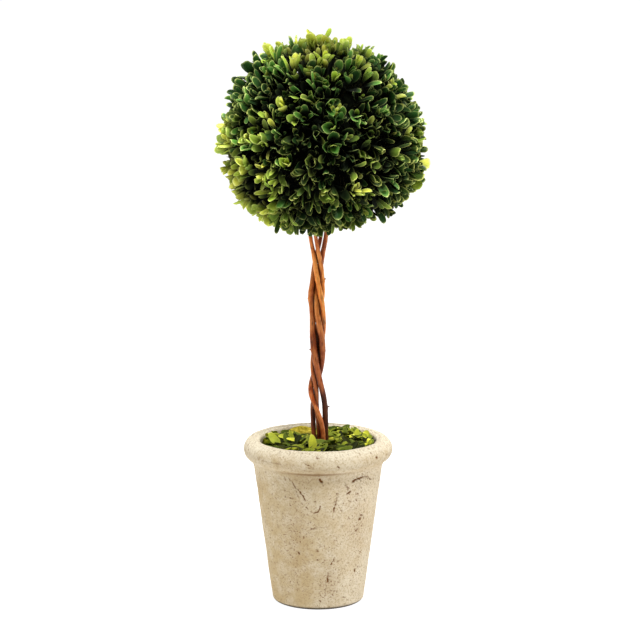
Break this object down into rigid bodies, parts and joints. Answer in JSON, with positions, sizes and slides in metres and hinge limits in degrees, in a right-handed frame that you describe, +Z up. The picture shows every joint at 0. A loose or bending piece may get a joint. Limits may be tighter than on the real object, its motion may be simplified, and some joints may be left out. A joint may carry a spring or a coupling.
{
  "type": "potted box topiary ball",
  "caption": "Clipped ball of box leaves on slender stems wound around each other, standing in a tapered round pot with a rolled rim and loose leaves over its filling.",
  "frame": {"origin": "centre of the pot's flat underside", "axes": "+Z up along the pot's axis, -Y towards the front, +X to the right"},
  "size_m": [0.2306, 0.2311, 0.6568],
  "materials": {
    "pot": "matt, aged cream surface with fine pits and scratches",
    "filling": "matt",
    "litter": "loose leaves, slightly glossy",
    "bark": "smooth reddish bark with fine furrows",
    "leaves": "small leathery leaves, slightly glossy"
  },
  "bodies": {
    "root": {"pot": "pot", "filling": "filling", "leaf_litter": "litter", "stem_left": "bark", "stem_front": "bark", "stem_back": "bark", "stem_right": "bark", "boxwood_ball": "leaves"}
  },
  "joints": []
}
